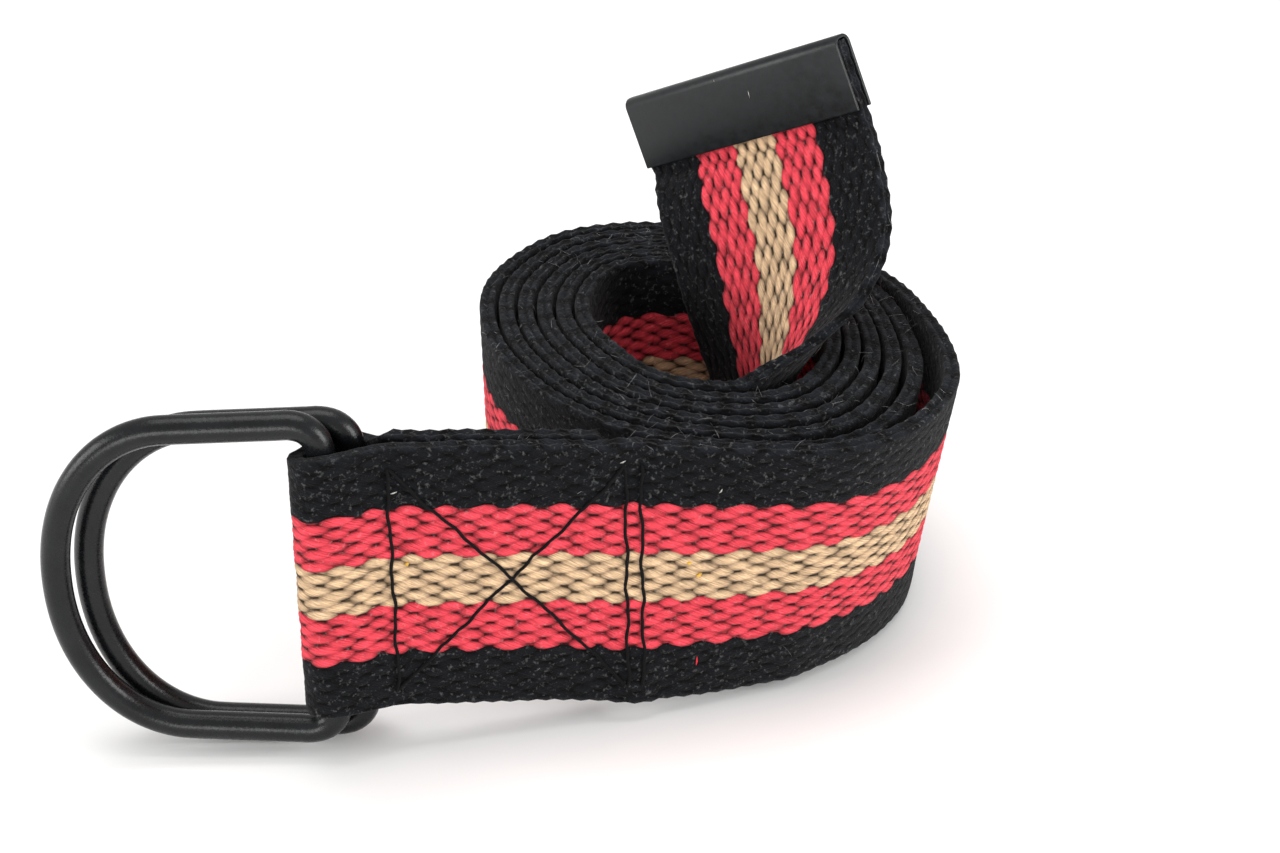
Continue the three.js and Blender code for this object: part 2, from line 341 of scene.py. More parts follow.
# One crosswise section: the outer face upward, the upper rim, the inner face down, the lower rim.
# Each part has its points' shares of it and, in mm, their offset across, their offset outward and
# their height for the UV map. A part ends on the next one's first point.
def section(place, half, fineOuter, fineInner):
    pressed = pressedAt(place)
    inner = half - rim["inset"]
    deep = webbing["ground"] - webbing["pressed"] * pressed
    deep += webbing["meanRise"] * webbing["relief"]
    swell = math.cos(4 * math.pi * place / webbing["period"] + rim["start"])
    turn = np.linspace(0, 1, fineness["rimParts"] + 1)
    parts = []
    for isFine, side in ((fineOuter, 1), (fineInner, -1)):
        shares = np.linspace(0, 1, fineness["acrossFine" if isFine else "acrossCoarse"] + 1)
        height = faceHeight(place, shares, isFine) * side
        a = (2 * shares - 1) * inner
        face = np.stack([a, height, webbing["width"] * shares], axis=1)
        parts.append((shares, face[::side]))
        n = deep * np.cos(math.pi * turn) * side
        wave = np.where(n > 0, 1, -1) * swell
        bulge = rim["bulge"] * (1 + rim["wave"] * wave) * (1 - rim["flattened"] * pressed)
        lobe = np.abs(np.sin(2 * math.pi * turn)) ** rim["roundness"] * bulge
        lobe += rim["crown"] * np.sin(math.pi * turn)
        a = (inner + lobe) * side
        edge = np.full_like(a, webbing["width"] if side == 1 else 0.0) + side * lobe
        parts.append((turn, np.stack([a, n, edge], axis=1)))
    return parts


# Triangles between two runs of points that differ in number, each given as the function from a
# point's number to its index, the number of its parts and the points' shares of the run.
def bridge(first, second):
    faces = []
    startA, countA, placesA = first
    startB, countB, placesB = second
    i = j = 0
    while i < countA or j < countB:
        if j == countB or (i < countA and placesA[i + 1] <= placesB[j + 1]):
            faces.append((startA(i), startB(j), startA(i + 1)))
            i += 1
        else:
            faces.append((startA(i), startB(j), startB(j + 1)))
            j += 1
    return faces


# Which stations show which face: the outer face of the tail and outer lap, and both faces of the
# free end with the inner lap's inner face. Lengths in mm from either end.
shown = {"outerFrom": 36, "outerTo": 322, "endBoth": 92, "innerLap": 120}


def buildStrap():
    points, uvs, faces, loops = [], [], [], []
    wobble = np.random.default_rng(rim["seed"]).uniform(0, 2 * math.pi, 2)
    count = 0
    for j, place in enumerate(path["places"]):
        toEnd = strapLength - place
        fineOuter = shown["outerFrom"] < place < shown["outerTo"] or toEnd < shown["endBoth"]
        fineInner = toEnd < shown["innerLap"]
        wander = math.sin(place / rim["slowWander"] + wobble[0])
        wander += math.sin(place / rim["quickWander"] + wobble[1])
        wander *= rim["wander"] * (1 - pressedAt(place))
        loop = []
        for turn, values in section(place, path["half"][j], fineOuter, fineInner):
            kept = values[:-1]
            a = kept[:, 0:1] + wander
            position = path["middle"][j] + a * path["across"][j] + kept[:, 1:2] * path["out"][j]
            position[:, 2] = np.maximum(position[:, 2], 0)
            points.append(position)
            uvs.append(np.stack([np.full(len(kept), place), kept[:, 2]], axis=1))
            loop.append((count, len(kept), turn))
            count += len(kept)
        loops.append(loop)
    for before, after in zip(loops, loops[1:]):
        totals = [(loop[0][0], sum(part[1] for part in loop)) for loop in (before, after)]
        for partA, partB in zip(before, after):
            at = []
            for (start, length, turn), (first, total) in zip((partA, partB), totals):
                at.append((lambda k, s=start, f=first, t=total: f + (s - f + k) % t, length, turn))
            if partA[1] == partB[1]:
                for k in range(partA[1]):
                    faces.append((at[0][0](k), at[1][0](k), at[1][0](k + 1), at[0][0](k + 1)))
            else:
                faces.extend(bridge(*at))
    for loop, turned in ((loops[0], False), (loops[-1], True)):
        total = sum(part[1] for part in loop)
        cap = [loop[0][0] + k for k in range(total)]
        faces.append(tuple(reversed(cap)) if turned else tuple(cap))
    return np.concatenate(points), np.concatenate(uvs), faces


# A smooth-shaded piece at the origin from points in mm. Its UV map is in metres.
def meshObject(name, points, faces, material, uvs=None):
    mesh = bpy.data.meshes.new(name)
    mesh.from_pydata((np.asarray(points) * metre).tolist(), [], faces)
    if uvs is not None:
        layer = mesh.uv_layers.new(name="lengthAndWidth")
        order = np.zeros(len(mesh.loops), np.int32)
        mesh.loops.foreach_get("vertex_index", order)
        layer.data.foreach_set("uv", (np.asarray(uvs)[order] * metre).ravel().astype(np.float32))
    mesh.materials.append(material)
    mesh.shade_smooth()
    mesh.update()
    piece = bpy.data.objects.new(name, mesh)
    bpy.context.scene.collection.objects.link(piece)
    return piece


# The same weave as weaveHeight in nodes: its height, and the row whose float lies on top.
def weaveNodes(material, along, rows):
    base = calc(material, "FLOOR", rows)
    height, winner = 0.0, base
    for k in (0, -1, 1):
        row = calc(material, "ADD", base, float(k))
        sway = 0.0
        for s in sways:
            drift = calc(material, "MULTIPLY", along, s["drift"])
            angle = calc(material, "MULTIPLY_ADD", row, s["turn"], drift)
            sway = calc(material, "MULTIPLY_ADD", calc(material, "SINE", angle), s["size"], sway)
        odd = calc(material, "ABSOLUTE", calc(material, "MODULO", row, 2.0))
        shifted = calc(material, "MULTIPLY_ADD", odd, 0.5, sway)
        phase = calc(material, "MULTIPLY_ADD", along, 1 / webbing["period"], shifted)
        centred = calc(material, "SUBTRACT", calc(material, "FRACT", phase), 0.5)
        share = calc(material, "DIVIDE", centred, webbing["floatHalfShare"])
        square = calc(material, "MULTIPLY", share, share)
        arch = calc(material, "MAXIMUM", calc(material, "SUBTRACT", 1.0, square), 0.0)
        arch = calc(material, "POWER", arch, webbing["bluntness"])
        spread = webbing["wide"] - webbing["narrow"]
        reach = calc(material, "MULTIPLY_ADD", arch, spread, webbing["narrow"])
        offset = calc(material, "SUBTRACT", calc(material, "SUBTRACT", rows, row), 0.5)
        side = calc(material, "DIVIDE", offset, reach)
        rest = calc(material, "SUBTRACT", 1.0, calc(material, "MULTIPLY", side, side))
        dome = calc(material, "SQRT", calc(material, "MAXIMUM", rest, 0.0))
        own = calc(material, "MULTIPLY", arch, dome)
        higher = calc(material, "GREATER_THAN", own, height)
        change = calc(material, "SUBTRACT", row, winner)
        winner = calc(material, "MULTIPLY_ADD", higher, change, winner)
        height = calc(material, "MAXIMUM", own, height)
    return height, winner


# The yarn's finer look. Fibres and patches are noise with so many repeats a mm along the strap and
# a row across it, gaps is finer than the patches by that factor, and lint and knobs repeat that
# often a metre. The bumps are in mm.
yarn = {
    "slant": 0.55,
    "fibres": (0.6, 5.0),
    "patches": (0.25, 0.9),
    "gaps": 2.3,
    "lint": 1500.0,
    "knobs": 950.0,
    "floatBump": 0.22,
    "knobBump": 0.22,
    "lintBump": 0.16,
    "fibreBump": 0.12,
    "bumpStrength": 0.9,
}


# Woven cotton, striped along its length. The shader repeats weaveHeight, so that the colour of
# each float, the painted shade in the gaps and the fine relief follow the same threads as the mesh.
def webbingMaterial():
    material, shader = newMaterial("striped woven cotton webbing", roughness=0.92, specular=0.08)
    uv = addNode(material, "ShaderNodeUVMap", {}, uv_map="lengthAndWidth").outputs[0]
    split = addNode(material, "ShaderNodeSeparateXYZ", {"Vector": uv})
    along = calc(material, "DIVIDE", split.outputs["X"], metre)
    rows = calc(material, "DIVIDE", split.outputs["Y"], rowStep * metre)
    rowCount = webbing["rowCount"]
    height, winner = weaveNodes(material, along, rows)
    share = calc(material, "DIVIDE", calc(material, "ADD", winner, 0.5), float(rowCount))
    stops = [(row / rowCount, linear(stripeColours[name])) for row, name in stripes]
    color = ramp(material, share, stops, "CONSTANT")
    # Painted shade darkens the gaps and the seams between rows, and a painted highlight makes each
    # float's crown a little paler. Some gaps are closed by loose fibres, so their painted shade is
    # lighter than the others'.
    patchPlace = stretched(material, along, rows, yarn["patches"])
    closed = noise(material, patchPlace, yarn["gaps"], detail=1.0)
    paintedShadeLimit = greyRamp(material, closed, (0.48, 0.0), (0.66, 0.4))
    # Painted shade in the gaps and between rows, painted highlight on the crowns.
    paintedShadeStops = [(0.0, 0.06), (0.35, 0.28), (0.65, 0.66), (0.9, 1.0), (1.0, 1.08)]
    gap = mixed(material, "MAXIMUM", greyRamp(material, height, *paintedShadeStops), paintedShadeLimit)
    color = multiply(material, color, gap)
    # The selvedge is made paler than the faces.
    fromMiddle = calc(material, "SUBTRACT", calc(material, "DIVIDE", rows, float(rowCount)), 0.5)
    atRim = calc(material, "ABSOLUTE", fromMiddle)
    color = multiply(material, color, greyRamp(material, atRim, (0.495, 1.0), (0.503, 2.0)))
    # Twisted fibres run at a slant to the thread, with painted highlights and shade along them, and
    # whole patches are a little paler or darker.
    slant = calc(material, "MULTIPLY_ADD", along, yarn["slant"], rows)
    fibrePlace = stretched(material, along, slant, yarn["fibres"])
    fibre = noise(material, fibrePlace, scale=1.0, detail=3.0, roughness=0.6)
    paintedFibreLight = greyRamp(material, fibre, (0.28, 0.5), (0.5, 0.95), (0.72, 1.5))
    color = multiply(material, color, paintedFibreLight)
    patch = noise(material, patchPlace, scale=1.0)
    color = multiply(material, color, greyRamp(material, patch, (0.2, 0.72), (0.8, 1.2)))
    # Pale single fibres lie on all the threads and show most on the black ones.
    position = objectPlace(material)
    lint = noise(material, position, yarn["lint"], detail=3.0, roughness=0.7)
    pale = greyRamp(material, lint, (0.57, 0.0), (0.72, 0.06))
    plug(material, shader, "Base Color", mixed(material, "ADD", color, pale))
    # The black bands' fibres are matted, so their threads stand out less.
    aside = calc(material, "ABSOLUTE", calc(material, "SUBTRACT", share, 0.5))
    matted = calc(material, "GREATER_THAN", aside, webbing["mattedFrom"])
    lost = calc(material, "MULTIPLY", matted, 1 - webbing["mattedRelief"])
    kept = calc(material, "SUBTRACT", 1.0, lost)
    standing = calc(material, "MULTIPLY", kept, yarn["floatBump"] * metre)
    rise = calc(material, "MULTIPLY", height, standing)
    knobs = noise(material, position, yarn["knobs"], roughness=0.6)
    for bumps, size in ((knobs, "knobBump"), (lint, "lintBump"), (fibre, "fibreBump")):
        rise = calc(material, "MULTIPLY_ADD", bumps, yarn[size] * metre, rise)
    plugBump(material, shader, rise, distance=1.0, strength=yarn["bumpStrength"])
    shader.inputs["Sheen Weight"].default_value = 0.05
    shader.inputs["Sheen Roughness"].default_value = 0.5
    return material


strapPoints, strapUvs, strapFaces = buildStrap()
strap = meshObject("strap", strapPoints, strapFaces, webbingMaterial(), strapUvs)
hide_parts("webbing_strap")
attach(strap, "belt")
print("stage strap: triangles", sum(len(f) - 2 for f in strapFaces))


# A point on the strap: place along it, height from the middle of its width, and distance out
# from the middle of its thickness, all in mm.
def onStrap(place, a, n):
    stations = path["places"]
    point, across, out = (
        np.array([np.interp(place, stations, path[key][:, k]) for k in range(3)])
        for key in ("middle", "across", "out")
    )
    return point + a * across + n * out


# A cord's ends are drawn in to a share of its radius. Its rounds are set off from a direction that
# no cord here runs along.
cord = {"endShare": 0.3, "reference": [0.13, 0.31, 0.94]}


def tube(points, radius, sides, corners, faces):
    points = np.asarray(points)
    travel = unit(np.gradient(points, axis=0))
    side = unit(np.cross(travel, cord["reference"]))
    other = np.cross(travel, side)
    start, last = len(corners), len(points) - 1
    for k in range(len(points)):
        thin = radius * (cord["endShare"] if k in (0, last) else 1)
        for m in range(sides):
            angle = 2 * math.pi * m / sides
            spoke = math.cos(angle) * side[k] + math.sin(angle) * other[k]
            corners.append(points[k] + thin * spoke)
    for k in range(last):
        for m in range(sides):
            a, b = start + k * sides + m, start + k * sides + (m + 1) % sides
            faces.append((a, b, b + sides, a + sides))
    faces.append(tuple(start + m for m in reversed(range(sides))))
    faces.append(tuple(start + last * sides + m for m in range(sides)))


# Where the box of stitches lies, as x from the origin, and its threads, in mm. Above is the
# thread's distance from the strap's middle, and dip what it sinks where the needle went through.
# The thread wavers by two sizes, with turns in radians a stitch. A seam closer to the cut end than
# cutMargin is left out.
stitching = {
    "boxLeft": -15.1,
    "boxRight": 13.9,
    "secondLine": 15.9,
    "boxHalfHeight": 16.4,
    "stitch": 2.9,
    "stitchParts": 6,
    "thread": 0.22,
    "threadSides": 6,
    "above": 1.24,
    "dip": 0.16,
    "dipSharpness": 6,
    "slowWaver": 0.16,
    "slowTurn": 2.1,
    "quickWaver": 0.07,
    "quickTurn": 5,
    "cutMargin": 2,
}


def stitchLine(start, end, corners, faces):
    length = math.dist(start, end)
    count = max(2, round(length / stitching["stitch"]))
    steps = count * stitching["stitchParts"]
    line = []
    for k in range(steps + 1):
        share = k / steps
        place = start[0] + (end[0] - start[0]) * share
        a = start[1] + (end[1] - start[1]) * share
        slow = math.sin(share * count * stitching["slowTurn"] + start[0])
        quick = math.sin(share * count * stitching["quickTurn"])
        waver = stitching["slowWaver"] * slow + stitching["quickWaver"] * quick
        needle = abs(math.cos(math.pi * share * count)) ** stitching["dipSharpness"]
        line.append(onStrap(place + waver, a, stitching["above"] - stitching["dip"] * needle))
    tube(line, stitching["thread"], stitching["threadSides"], corners, faces)


# The stations of the two layers right of the fold: the tail in front, the folded end behind it.
# The few stations round the fold itself belong to neither.
layers = {"front": slice(fold + 4, fold + 60), "back": slice(0, fold - 6)}


def placeAt(x, layer):
    xs, places = path["middle"][layers[layer], 0], path["places"][layers[layer]]
    order = np.argsort(xs)
    return float(np.interp(x, xs[order], places[order]))


# Black sewing thread, dull and twisted from fine strands.
def threadMaterial():
    material, shader = newMaterial("black sewing thread", roughness=0.85, specular=0.15)
    strands = noise(material, objectPlace(material), scale=9000.0)
    shade = colourRamp(material, strands, (0.3, "#030304"), (0.7, "#0E0E10"))
    plug(material, shader, "Base Color", shade)
    plugBump(material, shader, strands, distance=0.05 * metre)
    return material


def buildStitching():
    corners, faces = [], []
    high = stitching["boxHalfHeight"]
    for layer in layers:
        left, right, second = (
            placeAt(stitching[key], layer) for key in ("boxLeft", "boxRight", "secondLine")
        )
        for line in (
            ((left, high), (left, -high)),
            ((right, high), (right, -high)),
            ((second, high), (second, -high)),
            ((left, high), (right, -high)),
            ((right, high), (left, -high)),
        ):
            if layer == "front" or max(line[0][0], line[1][0]) > stitching["cutMargin"]:
                stitchLine(*line, corners, faces)
    return meshObject("box_stitching", corners, faces, threadMaterial())


stitches = buildStitching()
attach(stitches, "belt")
print("stage stitching")


# The D-rings' wire, in mm, as in the CAD model, and how many rounds and sides it is made with.
ringSizes = {
    "height": 48.2,
    "length": 37.5,
    "wire": 3.7,
    "arcDepth": 18.0,
    "arcHeight": 47.0,
    "fullness": 2.1,
    "corner": 3.6,
    "turns": 260,
    "sides": 28,
}

# The points that draw the ring's middle line: how many on the bar and on the arc, the degrees
# turned at each corner and the shares of each straight part.
ringPoints = {"bar": 15, "arc": 19, "corner": (30, 60, 90), "straight": (0.1, 0.25, 0.5, 0.75, 0.9)}


# The ring's middle line as x and z, from the foot of the bar up, over the arc and back.
def ringLine():
    wire = ringSizes["wire"] / 2
    top, shoulder = ringSizes["height"] / 2 - wire, ringSizes["arcHeight"] / 2 - wire
    far, deep = ringSizes["length"] - ringSizes["wire"], ringSizes["arcDepth"] - wire
    corner, power = ringSizes["corner"], 2 / ringSizes["fullness"]
    points = [(0, z) for z in np.linspace(-(top - corner), top - corner, ringPoints["bar"])]
    for degrees in ringPoints["corner"]:
        angle = math.radians(degrees)
        points.append((corner * (math.cos(angle) - 1), top - corner + corner * math.sin(angle)))
    straight = [
        (-corner - share * (far - deep - corner), top + share * (shoulder - top))
        for share in ringPoints["straight"]
    ]
    points += straight
    for k in range(ringPoints["arc"]):
        angle = math.pi / 2 + math.pi * k / (ringPoints["arc"] - 1)
        side = abs(math.cos(angle)) ** power
        up = math.copysign(abs(math.sin(angle)) ** power, math.sin(angle))
        points.append((-(far - deep) - side * deep, up * shoulder))
    points += [(x, -z) for x, z in reversed(straight)]
    for degrees in reversed(ringPoints["corner"]):
        angle = math.radians(360 - degrees)
        points.append((corner * (math.cos(angle) - 1), corner - top + corner * math.sin(angle)))
    return np.array(points)


# Steel wire under a smooth coat of black paint, faintly worn.
def steelMaterial():
    material, shader = newMaterial("black painted steel wire", roughness=0.26, specular=0.28)
    position = objectPlace(material)
    grain = noise(material, position, scale=2600.0, detail=3.0, roughness=0.6)
    wear = noise(material, position, scale=260.0, detail=3.0)
    color = colourRamp(material, wear, (0.3, "#08090A"), (0.72, "#131416"))
    plug(material, shader, "Base Color", color)
    plug(material, shader, "Roughness", greyRamp(material, grain, (0.3, 0.2), (0.75, 0.34)))
    plugBump(material, shader, grain, distance=0.03 * metre)
    return material


steel = steelMaterial()


# The middle line's stations, evenly spaced from the foot of the bar, as x and z in mm. The line
# runs on past its start by some points, so that the curve is as smooth there as elsewhere.
def ringStations():
    line = ringLine()
    closed = np.vstack([line, line[:1]])
    knots = np.concatenate([[0], np.cumsum(np.linalg.norm(np.diff(closed, axis=0), axis=1))])
    padded = np.vstack([line[-4:], line, line[:5]])
    padKnots = np.concatenate([knots[-5:-1] - knots[-1], knots, knots[1:5] + knots[-1]])
    places = np.linspace(0, knots[-1], ringSizes["turns"], endpoint=False)
    return throughPoints(padKnots, padded, places)


def applyAll():
    bpy.ops.object.transform_apply(location=True, rotation=True, scale=True)


# Selects the edited piece's faces or edges for which isWanted is true, and nothing else.
def chooseEdit(piece, kind, isWanted):
    bpy.ops.mesh.select_all(action="DESELECT")
    bpy.ops.mesh.select_mode(type=kind)
    mesh = bmesh.from_edit_mesh(piece.data)
    for part in mesh.faces if kind == "FACE" else mesh.edges:
        part.select_set(isWanted(part))
    bmesh.update_edit_mesh(piece.data)


def ringPlace(node):
    low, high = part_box(node)
    middle = (low + high) / 2
    return Vector((high.x - ringSizes["wire"] / 2 * metre, middle.y, middle.z))


# The wire is a circle pushed along the middle line and turned with it, then joined to its start.
def buildRing(name, node):
    stations = ringStations() * metre
    travel = np.roll(stations, -1, axis=0) - np.roll(stations, 1, axis=0)
    slants = np.unwrap(np.arctan2(travel[:, 0], travel[:, 1]))
    place = ringPlace(node)
    spots = [place + Vector((x, 0, z)) for x, z in stations]
    bpy.ops.object.select_all(action="DESELECT")
    bpy.ops.mesh.primitive_circle_add(
        vertices=ringSizes["sides"], radius=ringSizes["wire"] / 2 * metre, location=spots[0]
    )
    piece = bpy.context.object
    piece.name = name
    applyAll()
    bpy.ops.object.mode_set(mode="EDIT")
    bpy.ops.mesh.select_all(action="SELECT")
    for k in range(1, len(spots)):
        bpy.ops.mesh.extrude_region_move(
            TRANSFORM_OT_translate={"value": spots[k] - spots[k - 1]}
        )
        turn = float(slants[k] - slants[k - 1])
        bpy.ops.transform.rotate(value=-turn, orient_axis="Y", center_override=spots[k])
    chooseEdit(piece, "EDGE", lambda edge: len(edge.link_faces) == 1)
    bpy.ops.mesh.bridge_edge_loops()
    bpy.ops.mesh.select_all(action="SELECT")
    bpy.ops.mesh.normals_make_consistent(inside=False)
    bpy.ops.object.mode_set(mode="OBJECT")
    bpy.ops.object.shade_smooth()
    piece.data.materials.append(steel)
    return piece


def copyRing(source, name, node):
    bpy.ops.object.select_all(action="DESELECT")
    source.select_set(True)
    bpy.context.view_layer.objects.active = source
    bpy.ops.object.duplicate(linked=False)
    piece = bpy.context.object
    piece.name = name
    piece.location = ringPlace(node) - ringPlace("ring_front")
    applyAll()
    return piece


# A copy takes over its source's parent, so both rings are attached after the copying.
frontRing = buildRing("front_ring_wire", "ring_front")
backRing = copyRing(frontRing, "back_ring_wire", "ring_back")
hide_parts("ring_front")
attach(frontRing, "front_ring")
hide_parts("ring_back")
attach(backRing, "back_ring")
print("stage rings")


# The tip's folded sheet, in mm. The strap's end stops a gap short of its fold, and its heading is
# taken over the strap's last headingSteps stations. Trim is what the sheet is narrower than the
# CAD tip, and bend the radius of the fold's two curves, as a share of half its thickness. Facets
# are the parts of each curve, and edges that turn less than smoothBelow, in degrees, look smooth.
tip = {
    "length": 10.4,
    "width": 38.8,
    "trim": 0.1,
    "sheet": 0.5,
    "inside": 1.25,
    "gap": 0.25,
    "headingSteps": 5,
    "bend": 0.75,
    "bendFacets": 8,
    "corner": 0.16,
    "cornerFacets": 2,
    "smoothBelow": 40,
}


# Folded brass under satin black paint, scuffed grey in places.
def tipMaterial():
    material, shader = newMaterial("satin black painted brass", roughness=0.38, specular=0.32)
    scuffs = noise(material, objectPlace(material), scale=700.0, detail=4.0, roughness=0.65)
    stops = [(0.35, "#0A0C0E"), (0.72, "#131618"), (0.8, "#3A3D40")]
    plug(material, shader, "Base Color", colourRamp(material, scuffs, *stops))
    plug(material, shader, "Roughness", greyRamp(material, scuffs, (0.3, 0.3), (0.75, 0.46)))
    plugBump(material, shader, scuffs, distance=0.03 * metre)
    return material


# The tip's axes at the strap's end, and the middle of its closed end, in mm.
def tipAxes():
    heading = unit(path["middle"][-1] - path["middle"][-1 - tip["headingSteps"]])
    across = path["across"][-1]
    across = unit(across - heading * (heading @ across))
    out = unit(np.cross(heading, across))
    closed = path["middle"][-1] + heading * (tip["gap"] + tip["sheet"])
    return heading, across, out, closed


# The box that becomes the tip has its mouth at x = 0 and its fold at the far end. These tell its
# mouth and side faces, and the two edges further than a mm from the mouth that are rounded.
def isOpen(face):
    return round(face.normal.x) == -1 or round(abs(face.normal.z)) == 1


def isAlongFold(edge):
    first, second = (v.co for v in edge.verts)
    return min(first.x, second.x) > metre and first.y * second.y > 0


# The sheet's middle is a box without its mouth and side faces, rounded where it is folded. It is
# shaped along x with the fold forward, and then set on the strap's end.
def buildTip():
    heading, across, out, closed = tipAxes()
    mid = tip["inside"] + tip["sheet"] / 2
    deep = tip["length"] - tip["sheet"] / 2
    bpy.ops.object.select_all(action="DESELECT")
    bpy.ops.mesh.primitive_cube_add(
        size=metre,
        location=(deep / 2 * metre, 0, 0),
        scale=(deep, 2 * mid, tip["width"] - tip["trim"]),
    )
    piece = bpy.context.object
    piece.name = "end_tip_sheet"
    applyAll()
    bpy.ops.object.mode_set(mode="EDIT")
    chooseEdit(piece, "FACE", isOpen)
    bpy.ops.mesh.delete(type="FACE")
    chooseEdit(piece, "EDGE", isAlongFold)
    bpy.ops.mesh.bevel(
        offset=mid * tip["bend"] * metre, segments=tip["bendFacets"], affect="EDGES"
    )
    bpy.ops.object.mode_set(mode="OBJECT")
    thick = piece.modifiers.new("sheet", "SOLIDIFY")
    thick.thickness = tip["sheet"] * metre
    thick.offset = 0
    rounded = piece.modifiers.new("edges", "BEVEL")
    rounded.width = tip["corner"] * metre
    rounded.segments = tip["cornerFacets"]
    rounded.limit_method = "ANGLE"
    bpy.ops.object.modifier_apply(modifier="sheet")
    bpy.ops.object.modifier_apply(modifier="edges")
    start = closed - heading * tip["length"]
    axes = Matrix((heading, -out, across)).transposed().to_4x4()
    piece.matrix_world = Matrix.Translation(Vector(start) * metre) @ axes
    applyAll()
    bpy.ops.object.shade_smooth_by_angle(angle=math.radians(tip["smoothBelow"]))
    piece.data.materials.append(tipMaterial())
    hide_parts("end_tip")
    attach(piece, "belt")
    return piece


# The nicks' radius, how deep they are sunk, and how far they lean across the strap for each mm
# along it. Each one's share is across the tip, from the side that is left in the photograph, depth
# is from its closed end against the strap's heading, and length is along the strap. In mm.
nickSizes = {
    "radius": 0.06,
    "sides": 6,
    "sunk": 0.02,
    "lean": 0.1,
    "bits": [
        {"share": 0.44, "depth": -1.0, "length": 0.25},
        {"share": 0.57, "depth": -4.2, "length": 1.3},
    ],
}


# Bare brass, pale and shiny, where the paint is scratched off.
def bareMaterial():
    material, shader = newMaterial("bare brass under the paint", roughness=0.3)
    grain = noise(material, objectPlace(material), scale=3000.0)
    shade = colourRamp(material, grain, (0.35, "#9A968E"), (0.65, "#D2CFC8"))
    plug(material, shader, "Base Color", shade)
    shader.inputs["Metallic"].default_value = 0.6
    return material


# Two nicks in the paint of the face that looks forward, as in the photograph.
def buildNicks():
    heading, across, out, closed = tipAxes()
    front = -math.copysign(1, out[1])
    surface = tip["inside"] + tip["sheet"] - nickSizes["sunk"]
    slant = unit(heading + nickSizes["lean"] * across)
    corners, faces = [], []
    for nick in nickSizes["bits"]:
        spot = closed + heading * nick["depth"] + across * (nick["share"] - 0.5) * tip["width"]
        spot = spot + out * front * surface
        line = [spot + k * nick["length"] / 2 * slant for k in (-1, 0, 1)]
        tube(line, nickSizes["radius"], nickSizes["sides"], corners, faces)
    nicks = meshObject("tip_nicks", corners, faces, bareMaterial())
    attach(nicks, "belt")


endTip = buildTip()
buildNicks()
print("stage tip")


# The stray fibres, in mm. They lie between fromFold and beforeEnd, rimShare of them on the rims and
# the others within faceBand of one, lowShare of those at the lower. Away is their start's distance
# from the strap's middle. Lift and spread turn them off the cloth and to the side, and bend and sag
# curve them. None comes lower than clearance over the floor.
fuzz = {
    "count": 620,
    "thin": 0.01,
    "thick": 0.02,
    "shortest": 0.6,
    "longest": 2.6,
    "fromFold": 24,
    "beforeEnd": 14,
    "rimShare": 0.55,
    "lowShare": 0.4,
    "faceBand": (0.4, 8),
    "away": 1.15,
    "lift": (0.15, 0.6),
    "spread": 0.7,
    "bend": 0.5,
    "sag": 0.35,
    "parts": 5,
    "sides": 3,
    "clearance": 0.3,
    "seed": 31,
}


# Loose cotton fibres, dull, from dark to pale grey.
def fibreMaterial():
    material, shader = newMaterial("loose cotton fibres", roughness=0.9)
    tint = noise(material, objectPlace(material), scale=900.0, detail=1.0)
    shade = colourRamp(material, tint, (0.35, "#3A3B40"), (0.65, "#A9A8A6"))
    plug(material, shader, "Base Color", shade)
    return material


def buildFuzz():
    rng = np.random.default_rng(fuzz["seed"])
    corners, faces = [], []
    half = webbing["width"] / 2
    for _ in range(fuzz["count"]):
        place = rng.uniform(turnPlace + fuzz["fromFold"], strapLength - fuzz["beforeEnd"])
        onRim = rng.random() < fuzz["rimShare"]
        low = not onRim and rng.random() < fuzz["lowShare"]
        a = (-1 if low else 1) * (half - (0 if onRim else rng.uniform(*fuzz["faceBand"])))
        n = rng.uniform(-1, 1) if onRim else fuzz["away"]
        start = onStrap(place, a, n)
        nearby = onStrap(min(place + 1, strapLength), a, n) - start
        outward = onStrap(place, a, n + 1) - start
        upward = onStrap(place, a + 1, n) - start
        lift, aside = (upward, outward) if onRim else (outward, upward)
        direction = nearby * rng.normal() + lift * rng.uniform(*fuzz["lift"])
        direction = unit(direction + aside * rng.normal() * fuzz["spread"])
        length = rng.uniform(fuzz["shortest"], fuzz["longest"])
        bend = unit(rng.normal(size=3)) * fuzz["bend"]
        line = []
        for k in range(fuzz["parts"] + 1):
            share = k / fuzz["parts"]
            curve = bend * share**2 - lift * fuzz["sag"] * share**2
            x, y, z = start + direction * length * share + curve * length
            line.append(np.array([x, y, max(z, fuzz["clearance"])]))
        radius = rng.uniform(fuzz["thin"], fuzz["thick"])
        tube(line, radius, fuzz["sides"], corners, faces)
    return meshObject("stray_fibres", corners, faces, fibreMaterial())


fibres = buildFuzz()
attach(fibres, "belt")

# Single threads of other colours that are caught in the tail's weave, in mm. Each bit's x is from
# the origin, a from the middle of the width, lean in degrees from upright.
caught = {
    "red_tick": {
        "colour": "#E02A38",
        "thick": 0.13,
        "bits": [{"x": 23.2, "a": -13.5, "length": 1.4, "lean": 4}],
    },
    "yellow_specks": {
        "colour": "#D9A93A",
        "thick": 0.28,
        "bits": [
            {"x": 23.2, "a": 0.2, "length": 0.8, "lean": 60},
            {"x": 21.9, "a": 2.1, "length": 0.6, "lean": 80},
            {"x": -13.2, "a": 2.6, "length": 0.5, "lean": 75},
        ],
    },
    "pale_specks": {
        "colour": "#B9B6AE",
        "thick": 0.1,
        "bits": [
            {"x": 13.6, "a": 16.8, "length": 0.8, "lean": 70},
            {"x": -14.4, "a": 12.9, "length": 1.1, "lean": 75},
            {"x": 25.6, "a": 13.0, "length": 0.7, "lean": 30},
        ],
    },
}
caughtShape = {"away": 1.2, "arch": 0.1, "sides": 6, "strandShadeShare": 0.7}
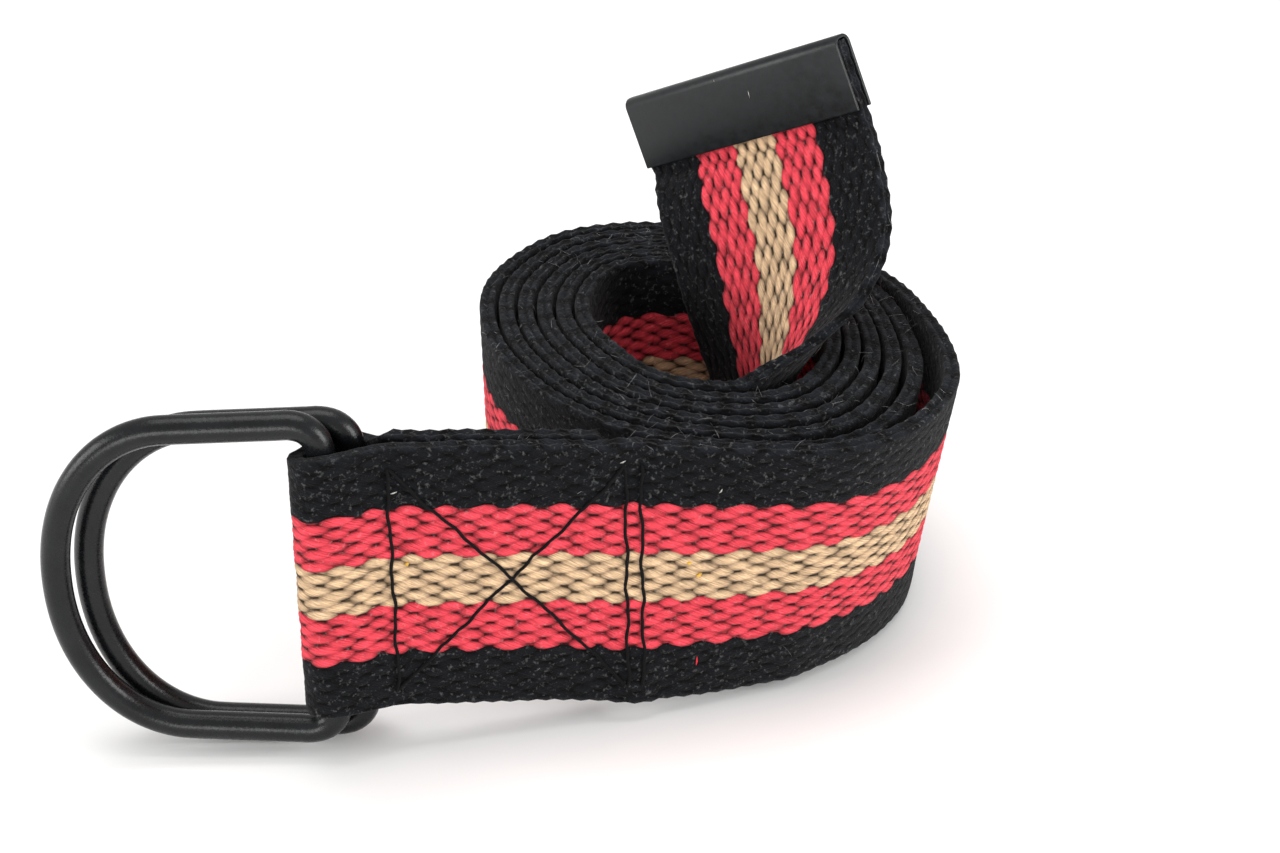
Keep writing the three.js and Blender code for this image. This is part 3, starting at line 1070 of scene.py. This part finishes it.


# Cotton of one colour, with painted shade between its strands.
def caughtMaterial(name, colour):
    material, shader = newMaterial(name, roughness=0.9)
    strands = noise(material, objectPlace(material), scale=4000.0)
    pure = linear(colour)
    dull = (*[caughtShape["strandShadeShare"] * v for v in pure[:3]], 1)
    plug(material, shader, "Base Color", ramp(material, strands, [(0.35, dull), (0.65, pure)]))
    return material


def buildCaught(name):
    corners, faces = [], []
    own = caught[name]
    for bit in own["bits"]:
        place, lean = placeAt(bit["x"], "front"), math.radians(bit["lean"])
        along, up = math.sin(lean) * bit["length"] / 2, math.cos(lean) * bit["length"] / 2
        line = []
        for k in (-1, 0, 1):
            away = caughtShape["away"] - caughtShape["arch"] * k * k
            line.append(onStrap(place + k * along, bit["a"] + k * up, away))
        tube(line, own["thick"], caughtShape["sides"], corners, faces)
    material = caughtMaterial(name.replace("_", " ") + " of cotton", own["colour"])
    piece = meshObject(name, corners, faces, material)
    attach(piece, "belt")
    return piece


specks = [buildCaught(name) for name in caught]
print("stage fibres")


# A plain pale table top, its size in metres.
floorSize = 6


def buildStage():
    bpy.ops.mesh.primitive_plane_add(size=floorSize, location=(0, 0, 0))
    floor = bpy.context.object
    floor.name = "floor"
    material, shader = newMaterial("plain pale table", roughness=0.7)
    mottle = noise(material, objectPlace(material), scale=40.0)
    shade = colourRamp(material, mottle, (0.3, "#F1F1F0"), (0.7, "#F5F5F4"))
    plug(material, shader, "Base Color", shade)
    floor.data.materials.append(material)


# The lights' places and sizes, in metres, and their power, in watts. All look at the target.
target = Vector((0, 0, 0.02))
lights = {
    "softbox above": {"place": (0.0, 0.1, 1.0), "size": (0.8, 0.6), "power": 4.6},
    "front fill": {"place": (-0.3, -0.9, 0.12), "size": (0.7, 0.3), "power": 4.2},
    "left fill": {"place": (-0.9, -0.2, 0.3), "size": (0.5, 0.5), "power": 4.3},
    "right fill": {"place": (0.9, -0.3, 0.3), "size": (0.5, 0.5), "power": 6.2},
}
worldStrength = 0.74


def addLight(name, place, size, power):
    data = bpy.data.lights.new(name, "AREA")
    data.shape = "RECTANGLE"
    data.size, data.size_y = size
    data.energy = power
    light = bpy.data.objects.new(name, data)
    bpy.context.scene.collection.objects.link(light)
    light.location = place
    light.rotation_euler = (target - Vector(place)).to_track_quat("-Z", "Y").to_euler()


buildStage()
for name, settings in lights.items():
    addLight(name, **settings)
world = bpy.data.worlds.new("studio")
world.use_nodes = True
world.node_tree.nodes["Background"].inputs["Color"].default_value = (1, 1, 1, 1)
world.node_tree.nodes["Background"].inputs["Strength"].default_value = worldStrength
bpy.context.scene.world = world
bpy.context.scene.view_settings.view_transform = "Standard"

cameraData = bpy.data.cameras.new("camera")
cameraData.lens = cameraSizes["lens"]
cameraData.sensor_width = cameraSizes["sensor"]
cameraData.clip_start = cameraSizes["nearest"]
camera = bpy.data.objects.new("camera", cameraData)
camera.location = (cameraSizes["x"], cameraSizes["y"], cameraSizes["z"])
camera.rotation_euler = (math.radians(90 - cameraSizes["pitch"]), 0, 0)
bpy.context.scene.collection.objects.link(camera)
bpy.context.scene.camera = camera
print("stage camera")
